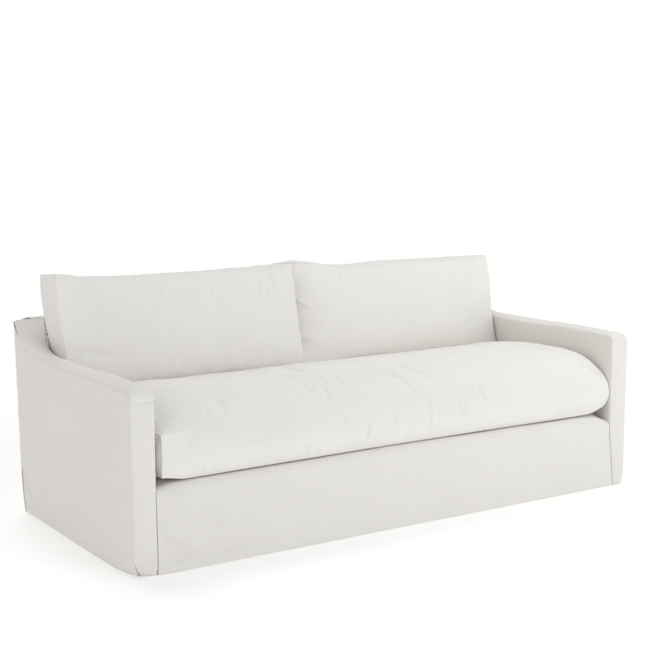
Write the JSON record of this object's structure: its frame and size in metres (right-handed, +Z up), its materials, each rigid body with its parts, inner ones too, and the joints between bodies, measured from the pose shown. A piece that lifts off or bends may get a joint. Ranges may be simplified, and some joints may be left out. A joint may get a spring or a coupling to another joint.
{
  "type": "sofa slipcover",
  "caption": "Fitted slipcover set for a long sofa: a hollow floor-length body cover of sewn panels, a crowned bench seat cushion and boxed back cushions.",
  "frame": {"origin": "on the floor at the middle of the footprint", "axes": "+X along the length towards the sitter's left arm, +Y towards the back, +Z up"},
  "size_m": [2.3207, 1.066, 0.9575],
  "materials": {
    "cover_cloth": "matt plain weave, off-white",
    "cushion_cloth": "matt plain weave, off-white, over soft filling"
  },
  "bodies": {
    "root": {"outside_arm_left": "cover_cloth", "outside_arm_right": "cover_cloth", "arm_front_left": "cover_cloth", "arm_front_right": "cover_cloth", "arm_top_left": "cover_cloth", "arm_top_right": "cover_cloth", "inside_arm_left": "cover_cloth", "inside_arm_right": "cover_cloth", "front_panel": "cover_cloth", "seat_deck": "cover_cloth", "inside_back": "cover_cloth", "back_top": "cover_cloth", "outside_back": "cover_cloth", "seat_cushion": "cushion_cloth", "back_cushion_left": "cushion_cloth", "back_cushion_right": "cushion_cloth"}
  },
  "joints": []
}
